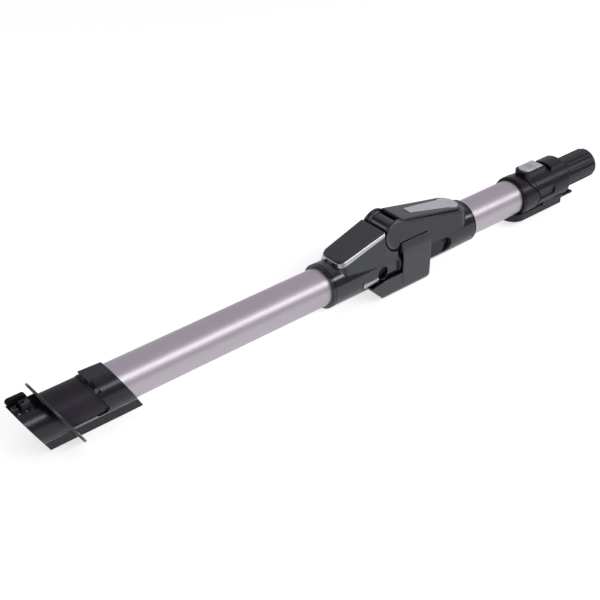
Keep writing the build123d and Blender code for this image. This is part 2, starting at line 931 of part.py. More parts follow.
with BuildPart() as panel_rim:
    with BuildSketch(across(-flange_station - run_out)):
        Circle(panel_outer + panel_rim_height)
        Circle(socket_waist + panel_gap, mode=Mode.SUBTRACT)
        with Locations((0, panel_foot + panel_gap - wide)):
            Rectangle(2 * wide, 2 * wide, mode=Mode.SUBTRACT)
    extrude(amount=flange_station - panel_end + 2 * run_out)
    split(bisect_by=panel_right.offset(-panel_gap - panel_rim_width), keep=Keep.TOP)
    split(bisect_by=panel_right.offset(-panel_gap), keep=Keep.BOTTOM)

with BuildPart() as grip_panel:
    with BuildSketch(across(-flange_station - run_out)):
        Circle(panel_outer)
        Circle(socket_waist + panel_gap, mode=Mode.SUBTRACT)
        with Locations((0, panel_foot + panel_gap - wide)):
            Rectangle(2 * wide, 2 * wide, mode=Mode.SUBTRACT)
    extrude(amount=flange_station - panel_end + 2 * run_out)
    split(bisect_by=panel_right.offset(-panel_gap - panel_rim_width), keep=Keep.BOTTOM)
    split(bisect_by=panel_left, keep=Keep.TOP)
    add(panel_rim.part)
    add(panel_clip.part, mode=Mode.SUBTRACT)
finish(grip_panel, "grip_panel")

with BuildPart() as finger_flange:
    with BuildSketch(panel_left.offset(-flange_thickness)):
        with Locations((0, -flange_drop)):
            Circle(flange_radius)
    extrude(amount=flange_thickness - panel_gap)
    fillet(edges().filter_by(GeomType.CIRCLE), flange_softening)
    with BuildSketch(across(-flange_station - run_out)):
        Circle(socket_radius + panel_gap)
        with Locations((0, -base_depth / 2)):
            Rectangle(2 * (base_half + panel_gap), base_depth + 2 * panel_gap)
    extrude(amount=2 * run_out, mode=Mode.SUBTRACT)
finish(finger_flange, "finger_flange")

# Contacts in the tray of the socket end
tray_left = -socket_left - slant * tray_floor
with BuildPart() as contact_wall:
    with BuildSketch(level(tray_floor)):
        with Locations((-socket_left - run_out / 2, (tray_half + wall_block_inner) / 2)):
            Rectangle(run_out + 2 * wall_block_length - 2 * slant * tray_floor, tray_half - wall_block_inner)
    extrude(amount=wall_block_rise - tray_floor)
    split(bisect_by=left_cut.offset(wall_block_setback), keep=Keep.TOP)
    fillet(edges().filter_by(Axis.Y).group_by(Axis.Z)[-1], wall_block_corner)
finish(contact_wall, "contact_wall")

with BuildPart() as plug_block:
    with BuildSketch(level(tray_floor)):
        with Locations((tray_left + plug_block_start + plug_block_length / 2, plug_block_centre)):
            Rectangle(plug_block_length, 2 * plug_block_half)
        with Locations((tray_left + keeper_start + keeper_length / 2, plug_block_centre)):
            Rectangle(keeper_length, 2 * keeper_half)
    extrude(amount=keeper_rise - tray_floor)
    with BuildSketch(level(tray_floor)):
        with Locations((tray_left + plug_block_start + plug_block_length / 2, plug_block_centre)):
            Rectangle(plug_block_length, 2 * plug_block_half)
    extrude(amount=plug_block_rise - tray_floor)
    with BuildSketch(level(plug_slot_floor)):
        with Locations((tray_left + plug_block_start, plug_block_centre)):
            Rectangle(plug_block_length, 2 * plug_slot_half)
    extrude(amount=plug_block_rise, mode=Mode.SUBTRACT)
finish(plug_block, "plug_block")

with BuildPart() as contact_pins:
    with BuildSketch(level(tray_floor)):
        with Locations((tray_left + contact_start, -contact_spread)):
            Circle(contact_radius)
        with Locations((tray_left + contact_start + contact_spread, -contact_spread)):
            Circle(contact_radius)
    extrude(amount=contact_rise - tray_floor)
finish(contact_pins, "contact_pins")

# Spigot end: the collar on the tube, with its base, side windows and the button's housing
with BuildPart() as end_collar:
    with BuildSketch(across(collar_start)):
        Circle(collar_radius)
    extrude(amount=collar_end - collar_start)
    with BuildSketch(level(-collar_base_depth)):
        with BuildLine():
            Polyline(
                (collar_base_start, -collar_base_half),
                (collar_base_end, -collar_base_half),
                (collar_base_end, collar_base_half),
                (collar_base_start, collar_base_half),
                close=True,
            )
        make_face()
        fillet(vertices().group_by(Axis.X)[0], base_round)
    extrude(amount=collar_base_depth + collar_base_top)
    with BuildSketch(level(collar_base_top)):
        with BuildLine():
            Polyline(
                (collar_base_start, -collar_base_half),
                (plate_end, -collar_base_half),
                (plate_end, collar_base_half),
                (collar_base_start, collar_base_half),
                close=True,
            )
        make_face()
        fillet(vertices().group_by(Axis.X)[0], base_round)
    extrude(amount=plate_thickness)
    with BuildSketch(level(0)):
        with Locations(((latch_start + latch_end) / 2, 0)):
            Rectangle(latch_end - latch_start, 2 * latch_half)
        fillet(vertices().group_by(Axis.X)[0], latch_button_round)
    extrude(amount=latch_rise)
    fillet(faces().sort_by(Axis.Z)[-1].edges(), latch_round)
    # ledge beside the base
    with BuildSketch(level(ledge_bottom)):
        with Locations(((ledge_start + collar_base_end) / 2, 0)):
            Rectangle(collar_base_end - ledge_start, 2 * ledge_half)
    extrude(amount=ledge_top - ledge_bottom)
    # seam between the collar's two shells
    with BuildSketch(across(collar_seam)):
        Circle(wide)
        Circle(collar_radius - seam_depth, mode=Mode.SUBTRACT)
        with Locations((0, ledge_bottom - wide)):
            Rectangle(2 * wide, 2 * wide, mode=Mode.SUBTRACT)
        Rectangle(2 * latch_half, wide, mode=Mode.SUBTRACT)
    extrude(amount=seam_width, mode=Mode.SUBTRACT)
    # side windows
    for plane, outward in both_sides(collar_radius - window_recess):
        with BuildSketch(plane):
            with Locations(((window_start + window_end) / 2, (window_rise + window_foot) / 2)):
                Rectangle(window_end - window_start, window_rise - window_foot)
            fillet(vertices(), slot_corner)
        extrude(amount=outward * wide, mode=Mode.SUBTRACT)
    # the button's well
    with BuildSketch(level(latch_floor)):
        with Locations(((latch_button_start + latch_button_end) / 2, 0)):
            Rectangle(
                latch_button_end - latch_button_start + 2 * latch_gap,
                2 * (latch_button_half + latch_gap),
            )
        fillet(vertices().group_by(Axis.X)[0], latch_button_round)
    extrude(amount=wide, mode=Mode.SUBTRACT)
    # bores for the tube and for the spigot's root, and room for the mating socket
    with BuildSketch(across(collar_start)):
        Circle(mouth_radius)
    extrude(amount=mouth_depth, mode=Mode.SUBTRACT)
    with BuildSketch(across(collar_base_start - cut_margin)):
        Circle(tube_radius + glue_gap)
    extrude(amount=collar_tube_end - collar_base_start + cut_margin, mode=Mode.SUBTRACT)
    with BuildSketch(across(collar_tube_end)):
        Circle(spigot_root + glue_gap)
    extrude(amount=ring_end - collar_tube_end, mode=Mode.SUBTRACT)
    with BuildSketch(across(collar_end)):
        Circle(collar_radius + ring_gap)
    extrude(amount=ring_end - collar_end + ring_gap, mode=Mode.SUBTRACT)
    with BuildSketch(across(ring_end)):
        Circle(spigot_radius + plate_gap)
    extrude(amount=wide, mode=Mode.SUBTRACT)
finish(end_collar, "end_collar")

with BuildPart() as hump:
    with BuildSketch(across(collar_end + ring_gap)):
        Circle(hump_rise)
        with Locations((0, hump_rise)):
            Rectangle(2 * hump_half, 2 * hump_rise, mode=Mode.INTERSECT)
    extrude(amount=ring_end - collar_end - ring_gap)
    fillet(edges().filter_by(GeomType.CIRCLE).group_by(Axis.X)[-1], hump_round)

with BuildPart() as spigot:
    with BuildSketch(across(flute_start)):
        Circle(spigot_radius - flute_relief)
    extrude(amount=spigot_end - flute_start)
    chamfer(edges().group_by(Axis.X)[-1], spigot_chamfer)
    with BuildSketch(across(flute_start)):
        with PolarLocations(spigot_radius - flute_relief, flute_count, start_angle=180 / flute_count):
            Rectangle(2 * flute_depth, flute_width)
    extrude(amount=spigot_end - flute_start, mode=Mode.SUBTRACT)
    with BuildSketch(across(ring_end)):
        Circle(spigot_radius)
    extrude(amount=flute_start - ring_end)
    with BuildSketch(across(spigot_seat)):
        Circle(spigot_root)
    extrude(amount=ring_end - spigot_seat)
    with BuildSketch(across(collar_end + ring_gap)):
        Circle(collar_radius)
    extrude(amount=ring_end - collar_end - ring_gap)
    add(hump.part)
    with BuildSketch(across(spigot_seat)):
        Circle(spigot_bore)
    extrude(amount=spigot_end - spigot_seat, mode=Mode.SUBTRACT)
finish(spigot, "spigot")

with BuildPart() as end_button:
    with BuildSketch(level(latch_button_bottom)):
        with Locations(((latch_button_start + latch_button_end) / 2, 0)):
            Rectangle(latch_button_end - latch_button_start, 2 * latch_button_half)
        fillet(vertices().group_by(Axis.X)[0], latch_button_round)
    extrude(amount=latch_button_top - latch_button_bottom)
    fillet(faces().sort_by(Axis.Z)[-1].edges(), edge_round)
    with BuildSketch(level(latch_button_bottom)):
        with Locations(((latch_button_start + latch_button_end) / 2, 0)):
            Circle(latch_pocket_radius)
    extrude(amount=latch_pocket_top - latch_button_bottom, mode=Mode.SUBTRACT)
finish(end_button, "end_button")

end_spring_seat = Plane(
    level(latch_floor + spring_gap + spring_wire).from_local_coords(
        ((latch_button_start + latch_button_end) / 2, 0, 0)
    )
)
end_spring_length = latch_pocket_top - latch_floor - 2 * spring_gap
end_spring = coil(end_spring_seat, latch_spring_radius, spring_wire, end_spring_length, latch_spring_turns)
finish(end_spring, "end_spring")
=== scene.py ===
import json
import math

import bmesh
import bpy
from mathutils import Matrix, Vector


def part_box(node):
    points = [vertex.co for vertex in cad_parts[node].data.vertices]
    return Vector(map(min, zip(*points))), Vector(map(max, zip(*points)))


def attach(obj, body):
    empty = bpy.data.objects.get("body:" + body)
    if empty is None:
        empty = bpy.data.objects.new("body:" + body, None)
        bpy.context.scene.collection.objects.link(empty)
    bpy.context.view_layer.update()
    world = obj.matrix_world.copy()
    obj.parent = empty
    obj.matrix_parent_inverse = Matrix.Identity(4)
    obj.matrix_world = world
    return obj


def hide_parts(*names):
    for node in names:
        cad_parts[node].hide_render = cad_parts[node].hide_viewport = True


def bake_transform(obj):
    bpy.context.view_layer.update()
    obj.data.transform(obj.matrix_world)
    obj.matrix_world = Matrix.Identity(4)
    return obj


# The looks of a folding vacuum cleaner tube, in metres.
# X runs along the tube towards the spigot, Y is the hinge's direction, Z is up.
# Sizes of the pieces made here are in millimetres: stations from the hinge, heights above the tube's axis.

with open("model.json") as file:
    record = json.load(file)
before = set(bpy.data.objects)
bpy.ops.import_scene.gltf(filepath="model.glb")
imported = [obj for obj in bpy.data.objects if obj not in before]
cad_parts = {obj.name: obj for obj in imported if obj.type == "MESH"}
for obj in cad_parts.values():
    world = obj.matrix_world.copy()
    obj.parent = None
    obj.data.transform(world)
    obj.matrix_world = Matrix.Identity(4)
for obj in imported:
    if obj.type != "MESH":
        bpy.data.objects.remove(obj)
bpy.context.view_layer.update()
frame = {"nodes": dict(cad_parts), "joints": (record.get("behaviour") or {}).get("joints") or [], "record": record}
nodes = frame["nodes"]
joints = {joint["name"]: joint for joint in frame["joints"]}
hinge = Vector(joints["fold"]["pos_m"])
tube_low, tube_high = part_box("lower_tube")
axis_z = (tube_low.z + tube_high.z) / 2
MM = 0.001
sideways = Vector((0, 1, 0))
upwards = Vector((0, 0, 1))

# Camera
eye_from_hinge = Vector((-0.6847, -0.6871, 0.5742))
camera_heading = math.radians(40.04)
camera_pitch = math.radians(34.26)
camera_lens = 69.6
camera_sensor = 36.0

# Studio: how much of the floor's own white the camera sees, and what a gloss mirrors of the floor's and the sky's
floor_size = 12.0
floor_colour = (0.86, 0.86, 0.86, 1)
floor_lift = 0.7
floor_mirrored = 0.42
sky_mirrored = 0.12
white = (1, 1, 1, 1)
no_glow = (0, 0, 0, 1)

# The sky's colour, and the two colours it falls to as a direction's Y or X sinks through a reach
world_colour = (0.5, 0.466, 0.512, 1)
near_colour = (0.14, 0.134, 0.15, 1)
near_reach = (-0.5, -0.1)
dark_colour = (0.004, 0.004, 0.006, 1)
dark_reach = (-0.35, 0.25)

# Lamps
key_size = (2.6, 0.22)
key_distance = 1.25
key_elevation = math.radians(43)
key_shift = 0.45
key_power = 9.8
fill_place = Vector((-1.1, 1.0, 1.0))
fill_target = Vector((0, 0, 0.03))
fill_size = (1.6, 0.5)
fill_power = 3.0

# Casts of the greys and of their highlights
neutral = (1.0, 1.0, 1.0)
mauve = (1.0, 0.925, 1.01)
cool = (0.97, 0.98, 1.04)
violet = (1.0, 0.88, 1.2)
cool_glint = (0.9, 0.94, 1.04, 1)
violet_glint = (0.88, 0.84, 1.0, 1)

# The mould's spark-eroded grain: fine lumps and cells a metre, and their depth
mould_grain = 2600.0
mould_cells = 1430.0
mould_depth = 0.04 * MM

# The grip panel's fine lines
line_pitch = 0.9 * MM
line_depth = 0.15 * MM

# How far the socket's slanted ends run for each millimetre of height
socket_slant = 0.525

# The box of the upper arm's side slots, whose floor gets painted shade: a darker colour there
upper_slot_shade_box = (
    (hinge.x + 36 * MM, hinge.x + 73 * MM),
    (-20.3 * MM, 20.3 * MM),
    (axis_z - 10.5 * MM, axis_z + 6.7 * MM),
)


class Socket:
    """A node's output, with arithmetic that adds Math nodes."""

    def __init__(self, tree, output):
        self.tree = tree
        self.output = output

    def math(self, operation, *others):
        return self.tree.add("ShaderNodeMath", {"operation": operation}, dict(enumerate((self, *others))))

    def __add__(self, other):
        return self.math("ADD", other)

    def __radd__(self, other):
        return self.math("ADD", other)

    def __mul__(self, other):
        return self.math("MULTIPLY", other)

    def __rmul__(self, other):
        return self.math("MULTIPLY", other)

    def sine(self):
        return self.math("SINE")

    def clamp(self):
        return self.math("MINIMUM", 1.0).math("MAXIMUM", 0.0)

    def within(self, low, high):
        """1 between two values, else 0."""
        return self.math("GREATER_THAN", low) * self.math("LESS_THAN", high)


class Tree:
    """A node tree that ends in one shader."""

    def __init__(self, tree, shader):
        self.tree = tree
        self.shader = tree.nodes[shader]

    def add(self, kind, settings, values, output=0):
        """A node of a kind, with its settings set before its sockets get values or links."""
        node = self.tree.nodes.new(kind)
        for name, setting in settings.items():
            setattr(node, name, setting)
        for name, value in values.items():
            if isinstance(value, Socket):
                self.tree.links.new(value.output, node.inputs[name])
            else:
                node.inputs[name].default_value = value
        return Socket(self, node.outputs[output])

    def feed(self, name, value):
        self.tree.links.new(value.output, self.shader.inputs[name])

    def outputs(self, socket):
        """Every output of a socket's node, by name."""
        return {output.name: Socket(self, output) for output in socket.output.node.outputs}

    def split(self, vector):
        return self.outputs(self.add("ShaderNodeSeparateXYZ", {}, {"Vector": vector}))

    def rays(self):
        return self.outputs(self.add("ShaderNodeLightPath", {}, {}))

    def tint(self, factor, low, high):
        """A colour between two, by a factor."""
        return self.add("ShaderNodeMix", {"data_type": "RGBA"}, {0: factor, 6: low, 7: high}, 2)


class Finish(Tree):
    """A material: a Principled shader whose constants are set on its own sockets."""

    def __init__(self, name, **constants):
        self.material = bpy.data.materials.new(name)
        self.material.use_nodes = True
        super().__init__(self.material.node_tree, "Principled BSDF")
        for socket, value in constants.items():
            self.shader.inputs[socket.replace("_", " ")].default_value = value
        self.place = self.add("ShaderNodeTexCoord", {}, {}, "Object")

    def stretched(self, scale):
        """The place on the object, scaled along X, Y and Z."""
        return self.add("ShaderNodeMapping", {}, {"Vector": self.place, "Scale": scale})

    def noise(self, scale, detail, vector=None):
        """Cloudy noise from 0 to 1, with so many lumps a metre."""
        values = {"Vector": vector or self.place, "Scale": scale, "Detail": detail}
        return self.add("ShaderNodeTexNoise", {}, values, "Fac")

    def grain(self, scale):
        """The cell pattern of a spark-eroded mould, from 0 to 1."""
        return self.add("ShaderNodeTexVoronoi", {}, {"Vector": self.place, "Scale": scale}, "Distance")

    def soft_edges(self, radius):
        """The normal with its edges rounded, by a radius in millimetres."""
        return self.add("ShaderNodeBevel", {"samples": 6}, {"Radius": radius * MM})

    def relief(self, height, distance, strength, under=None):
        """The normal of a height, over another normal."""
        values = {"Height": height, "Distance": distance, "Strength": strength}
        if under:
            values["Normal"] = under
        return self.add("ShaderNodeBump", {}, values, "Normal")


def grey(value, cast):
    return (value * cast[0], value * cast[1], value * cast[2], 1)


def satin_aluminium():
    """Drawn and anodised tube: satin, with faint marks along its length."""
    finish = Finish("satin_aluminium", Metallic=1.0, IOR=1.5)
    streaks = finish.noise(1.0, 4.0, finish.stretched((6, 900, 900)))
    clouds = finish.noise(9.0, 2.0)
    fine = finish.noise(5200.0, 2.0)
    finish.feed("Base Color", finish.tint(streaks * 0.6 + clouds * 0.4, grey(0.56, mauve), grey(0.63, mauve)))
    finish.feed("Roughness", 0.36 + streaks * 0.06 + fine * 0.07)
    finish.feed("Normal", finish.relief(fine * 0.7 + streaks * 0.3, 0.03 * MM, 0.35))
    return finish.material


def moulding(name, dark, light, rough, cast, edge, shine=1.56, glint=cool_glint, painted_shade_box=None):
    """A moulded plastic with a fine grain and softened edges; in a given box it is rougher, with painted shade that
    darkens its colour.
    """
    finish = Finish(name, IOR=shine, Specular_Tint=glint)
    clouds = finish.noise(28.0, 3.0)
    fine = finish.noise(mould_grain, 3.0)
    cells = finish.grain(mould_cells)
    mix = (clouds * 0.45 + fine * 0.55).clamp()
    colour = finish.tint(mix, grey(dark, cast), grey(light, cast))
    coarse = rough + clouds * 0.06 + fine * 0.08
    if painted_shade_box:
        inside = 1.0
        for axis, (low, high) in zip(finish.split(finish.place).values(), painted_shade_box):
            inside = axis.within(low, high) * inside
        # Painted shade: inside the box the colour falls to a third of the dark grey.
        colour = finish.tint(inside, colour, grey(dark * 0.3, cast))
        coarse = coarse + inside * 0.4
    finish.feed("Base Color", colour)
    finish.feed("Roughness", coarse)
    finish.feed("Normal", finish.relief(fine * 0.6 + cells * 0.4, mould_depth, 0.5, finish.soft_edges(edge)))
    return finish.material


def silver_paint():
    """The buttons' satin silver lacquer, with a little metal flake."""
    finish = Finish("silver_button", Metallic=0.55, IOR=1.5, Coat_Weight=0.15, Coat_Roughness=0.25)
    flake = finish.noise(6500.0, 2.0)
    clouds = finish.noise(40.0, 2.0)
    finish.feed("Base Color", finish.tint(flake * 0.6 + clouds * 0.4, grey(0.66, cool), grey(0.76, cool)))
    finish.feed("Roughness", 0.3 + flake * 0.12)
    finish.feed("Normal", finish.relief(flake, 0.02 * MM, 0.4, finish.soft_edges(0.5)))
    return finish.material


def bright_trim():
    """The polished trim under the cover and the guide bars."""
    finish = Finish("bright_trim", Metallic=1.0)
    clouds = finish.noise(120.0, 3.0)
    finish.feed("Base Color", finish.tint(clouds, grey(0.5, cool), grey(0.6, cool)))
    finish.feed("Roughness", 0.16 + clouds * 0.1)
    finish.feed("Normal", finish.relief(clouds, 0.03 * MM, 0.2, finish.soft_edges(0.4)))
    return finish.material


def plain_steel():
    """Turned steel of the pins, washers and springs."""
    finish = Finish("steel", Metallic=1.0)
    marks = finish.noise(1.0, 4.0, finish.stretched((2500, 60, 2500)))
    finish.feed("Base Color", finish.tint(marks, grey(0.48, cool), grey(0.6, cool)))
    finish.feed("Roughness", 0.24 + marks * 0.14)
    finish.feed("Normal", finish.relief(marks, 0.02 * MM, 0.3, finish.soft_edges(0.3)))
    return finish.material


def hose_rubber():
    """Dull black rubber with a pale bloom."""
    finish = Finish("hose_rubber", IOR=1.5)
    clouds = finish.noise(90.0, 4.0)
    bloom = finish.noise(2200.0, 2.0)
    finish.feed("Base Color", finish.tint(clouds, grey(0.014, neutral), grey(0.028, neutral)))
    finish.feed("Roughness", 0.5 + bloom * 0.15)
    finish.feed("Normal", finish.relief(bloom, 0.04 * MM, 0.5))
    return finish.material


def lined_grip():
    """The grip panel's skin: fine lines a little apart that run round the tube."""
    finish = Finish("lined_grip", IOR=1.48, Specular_Tint=violet_glint)
    along = finish.split(finish.place)["X"]
    lines = (along * (2 * math.pi / line_pitch)).sine() * 0.5 + 0.5
    fine = finish.noise(2400.0, 3.0)
    finish.feed("Base Color", finish.tint(lines * 0.7 + fine * 0.3, grey(0.009, violet), grey(0.019, violet)))
    finish.feed("Roughness", 0.5 + fine * 0.12)
    finish.feed("Normal", finish.relief(lines * 0.8 + fine * 0.2, line_depth, 0.6, finish.soft_edges(0.4)))
    return finish.material


mouldings = {
    "charcoal": dict(dark=0.007, light=0.013, rough=0.07, cast=cool, edge=2.0, shine=1.76),
    # Painted sheen: the guard's charcoal is several times lighter than the arms', for the light it reflects.
    "guard_sheen_charcoal": dict(dark=0.04, light=0.055, rough=0.12, cast=cool, edge=1.8, shine=1.66),
    "upper_charcoal": dict(dark=0.012, light=0.019, rough=0.09, cast=cool, edge=2.2, shine=1.62, painted_shade_box=upper_slot_shade_box),
    "black": dict(dark=0.004, light=0.008, rough=0.2, cast=mauve, edge=0.8),
    # Painted highlight: a lighter grey on the ears' rounded rims.
    "rim_highlight_grey": dict(dark=0.045, light=0.06, rough=0.14, cast=cool, edge=0.3, shine=1.8),
    # Painted highlight: a near-white grey for thin lines along edges of the socket end and the finger flange.
    "highlight_line_grey": dict(dark=0.42, light=0.5, rough=0.2, cast=cool, edge=0.3),
    # Painted sheen: a lighter grey for the finger flange, whose rim catches the light; the plug block has it too.
    "flange_sheen_grey": dict(dark=0.04, light=0.055, rough=0.2, cast=mauve, edge=0.9),
    "end_black": dict(dark=0.005, light=0.011, rough=0.24, cast=violet, edge=1.1, shine=1.46, glint=violet_glint),
    # Painted highlight: a lighter grey for the rods beside the spigot's flutes.
    "flute_highlight_grey": dict(dark=0.05, light=0.07, rough=0.3, cast=mauve, edge=0.3),
    "deep_black": dict(dark=0.002, light=0.003, rough=0.5, cast=mauve, edge=0.8, shine=1.3),
    # Painted shade: near black for the band in the end collar's groove.
    "painted_shade_black": dict(dark=0.001, light=0.002, rough=0.8, cast=mauve, edge=0.3, shine=1.01),
}
finishes = {
    "satin_aluminium": satin_aluminium(),
    "silver_button": silver_paint(),
    "bright_trim": bright_trim(),
    "steel": plain_steel(),
    "hose_rubber": hose_rubber(),
    "lined_grip": lined_grip(),
}
for name, facts in mouldings.items():
    finishes[name] = moulding(name, **facts)

# The nodes that differ from their slot's finish
own_finish = {
    "grip_panel": "lined_grip",
    "upper_arm": "upper_charcoal",
    "guard": "guard_sheen_charcoal",
    "finger_flange": "flange_sheen_grey",
    "plug_block": "flange_sheen_grey",
    "contact_wall": "deep_black",
    "end_collar": "end_black",
    "spigot": "end_black",
}


def dress_nodes():
    """Gives every CAD node its finish."""
    slot_of = {part["node"]: part["material_slot"] for part in frame["record"]["subparts"]}
    for name, node in nodes.items():
        node.data.materials.clear()
        node.data.materials.append(finishes[own_finish.get(name, slot_of[name])])


def smooth(thing):
    for face in thing.data.polygons:
        face.use_smooth = True


def piece(name, maker, finish, body=None, rounded=True):
    """A new mesh object, made by a function that fills a bmesh. It rides on a body where one is named."""
    mesh = bpy.data.meshes.new(name)
    shape = bmesh.new()
    maker(shape)
    bmesh.ops.recalc_face_normals(shape, faces=shape.faces)
    shape.to_mesh(mesh)
    shape.free()
    mesh.materials.append(finishes[finish])
    thing = bpy.data.objects.new(name, mesh)
    bpy.context.scene.collection.objects.link(thing)
    if rounded:
        smooth(thing)
    if body:
        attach(thing, body)
    return thing


def place_at(station, y, height):
    """A point by its station from the hinge and its height above the tube's axis, in millimetres."""
    return Vector((hinge.x + station * MM, y * MM, axis_z + height * MM))


def round_at(station, radius, turn):
    """A point about the tube's axis, by its turn from the top in degrees."""
    lean = math.radians(turn)
    return place_at(station, radius * math.sin(lean), radius * math.cos(lean))


def ends_of(box):
    """The stations of a box's two ends."""
    return [(corner.x - hinge.x) / MM for corner in box]


def ring(shape, centre, across, up, radius, sides):
    """A round ring of vertices in the plane of two directions."""
    turns = [2 * math.pi * side / sides for side in range(sides)]
    return [shape.verts.new(centre + (across * math.cos(turn) + up * math.sin(turn)) * radius) for turn in turns]


def skin(shape, rings, capped=True):
    """Faces between rings of as many vertices, and over the first and the last."""
    count = len(rings[0])
    for near, far in zip(rings, rings[1:]):
        for k in range(count):
            nxt = (k + 1) % count
            shape.faces.new((near[k], near[nxt], far[nxt], far[k]))
    if capped:
        shape.faces.new(rings[0])
        shape.faces.new(rings[-1])


def rod(shape, start, end, radius):
    """A thin round rod with domed ends, between two points, with its radius in millimetres."""
    sides, steps = 10, 4
    way = (end - start).normalized()
    across = way.orthogonal().normalized()
    up = way.cross(across)
    stops = [(start, -1.0, k) for k in range(steps)] + [(end, 1.0, k) for k in reversed(range(steps))]
    rings = []
    for tip, sense, k in stops:
        lean = math.pi / 2 * (k + 0.5) / steps
        centre = tip + way * (sense * radius * MM * math.cos(lean))
        rings.append(ring(shape, centre, across, up, radius * MM * math.sin(lean), sides))
    skin(shape, rings)


def bead(shape, stops, radius):
    """A round bead through stops of (centre, outward, sideways), which thins out over its last steps."""
    sides, taper, thinnest = 12, 4, 0.05
    rings = []
    for step, (centre, outward, beside) in enumerate(stops):
        full = min(1.0, min(step, len(stops) - 1 - step) / taper + thinnest) ** 0.5
        rings.append(ring(shape, centre, outward, beside, radius * full * MM, sides))
    skin(shape, rings)


def make_hose():
    """The corrugated hose inside the joint, with rounded folds."""
    low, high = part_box("flexible_hose")
    crest = (high.z - low.z) / 2
    cuff, cuff_flat = 8 * MM, 7.2 * MM
    wall = 0.9 * MM
    depth = 2.6 * MM
    folds, steps, sides = 17, 8, 64
    length = high.x - low.x
    outline = [(low.x, crest), (low.x + cuff_flat, crest)]
    for step in range(folds * steps + 1):
        along = step / (folds * steps)
        wave = 0.5 + 0.5 * math.cos(2 * math.pi * along * folds)
        outline.append((low.x + cuff + along * (length - 2 * cuff), crest - depth + depth * wave))
    outline += [(high.x - cuff_flat, crest), (high.x, crest)]
    outline += [(x, radius - wall) for x, radius in reversed(outline)]

    def folded(shape):
        rings = [ring(shape, Vector((x, 0, axis_z)), upwards, sideways, radius, sides) for x, radius in outline]
        skin(shape, rings + rings[:1], capped=False)

    hose = piece("corrugated_hose", folded, "hose_rubber")
    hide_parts("flexible_hose")
    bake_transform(hose)


def make_springs():
    """The two coil springs, as smooth copies of their CAD nodes, which are hidden; nothing here shortens them as
    their buttons are pressed.
    """
    for node, button in (("fold_spring", "release"), ("end_spring", "end_release")):
        mesh = nodes[node].data.copy()
        mesh.transform(nodes[node].matrix_world)
        coil = bpy.data.objects.new(node + "_coil", mesh)
        bpy.context.scene.collection.objects.link(coil)
        smooth(coil)
        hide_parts(node)
        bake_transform(coil)


def make_socket_line(name, first, last, half, height, radius):
    """A thin near-white line along both sides of the socket end: a painted highlight."""

    def lines(shape):
        for y in (-half, half):
            rod(shape, place_at(first, y, height), place_at(last, y, height), radius)

    piece(name, lines, "highlight_line_grey", "lower")


def make_socket_lines():
    """Thin rods along the squared base of the socket end and at the foot of its grip panel, painted near white as
    the highlights of those edges.
    """
    base_radius, base_half = 20.5, 17.0
    left_top, right_foot = 18.6, -21.3
    height = -math.sqrt(base_radius**2 - base_half**2)
    left, right = ends_of(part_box("socket_housing"))
    first = left + socket_slant * (left_top - height)
    last = right + socket_slant * (right_foot - height)
    make_socket_line("base_lines", first, last, base_half, height, radius=0.42)

    foot_half, foot_height = 16.1, -11.15
    start_room, end_room = 9.5, 7.0
    panel_foot = -18.0
    left, right = ends_of(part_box("grip_panel"))
    first = left - socket_slant * foot_height + start_room
    last = right + socket_slant * (panel_foot - foot_height) - end_room
    make_socket_line("panel_foot_lines", first, last, foot_half, foot_height, radius=0.6)


def make_trim_band():
    """The bright band under the sloping cover, flush with the arm's leaning walls."""
    near, far = -16.3, -70.5
    near_height, far_height = 41.6, 26.4
    near_half, far_half = 15.9, 13.7
    near_depth, far_depth = 5.2, 6.4
    near_lean, far_lean = 0.135, 0.344
    corner, corner_steps = 7.5, 12
    cover_thickness = 1.65
    wall_half, wall_height = 21.4, 4.0
    hidden = -1.1
    proud = 0.25
    side_proud = 0.5
    wall_gap = 0.05
    top_bevel = (0.35, 0.4)
    foot_bevel = 0.3

    def between(station, at_far, at_near):
        return at_far + (at_near - at_far) * (station - far) / (near - far)

    rounded = far + corner
    rounded_half = between(rounded, far_half, near_half)
    path = [
        (near, near_half, 0.0, 1.0),
        (rounded, rounded_half, 0.0, 1.0),
    ]
    for k in range(1, corner_steps):
        turn = math.pi / 2 * k / corner_steps
        out_x, out_y = -math.sin(turn), math.cos(turn)
        path.append((rounded + corner * out_x, rounded_half - corner + corner * out_y, out_x, out_y))
    path.append((far, rounded_half - corner, -1.0, 0.0))
    path += [(x, -y, out_x, -out_y) for x, y, out_x, out_y in reversed(path)]

    def section(x, y, out_x, out_y):
        """The band's outline at one place of the path: how far out, and how high."""
        top = between(x, far_height, near_height) - cover_thickness
        foot = between(x, far_height, near_height) - between(x, far_depth, near_depth)
        side = abs(out_y)
        wall = wall_half - between(x, far_lean, near_lean) * (foot - wall_height)
        out_high = proud + side_proud * side
        out_low = proud + side * max(wall - between(x, far_half, near_half) - wall_gap, 0)
        corners = (
            (hidden, top),
            (out_high - top_bevel[0], top),
            (out_high, top - top_bevel[1]),
            (out_low, foot + foot_bevel),
            (out_low - foot_bevel, foot),
            (hidden, foot),
        )
        return [place_at(x + out_x * out, y + out_y * out, height) for out, height in corners]

    def band(shape):
        skin(shape, [[shape.verts.new(point) for point in section(*stop)] for stop in path])

    trim = piece("trim_band", band, "bright_trim", "lower", rounded=False)
    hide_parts("cover_trim")


def make_flange_line():
    """A thin near-white bead round the lower half of the finger flange: a painted highlight of its edge."""
    low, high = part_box("finger_flange")
    centre = (low + high) / 2
    lean = math.atan(socket_slant)
    up = Vector((-math.sin(lean), 0, math.cos(lean)))
    through = Vector((math.cos(lean), 0, math.sin(lean)))
    inset, offset, line_radius = 0.5, 0.9, 0.45
    first_turn, last_turn, steps = 84, 276, 96
    radius = (high.y - low.y) / 2 - inset * MM

    def line(shape):
        stops = []
        for step in range(steps + 1):
            turn = math.radians(first_turn + (last_turn - first_turn) * step / steps)
            outward = up * math.cos(turn) + sideways * math.sin(turn)
            stops.append((centre + outward * radius + through * offset * MM, outward, through))
        bead(shape, stops, line_radius)

    piece("flange_line", line, "highlight_line_grey", "lower")


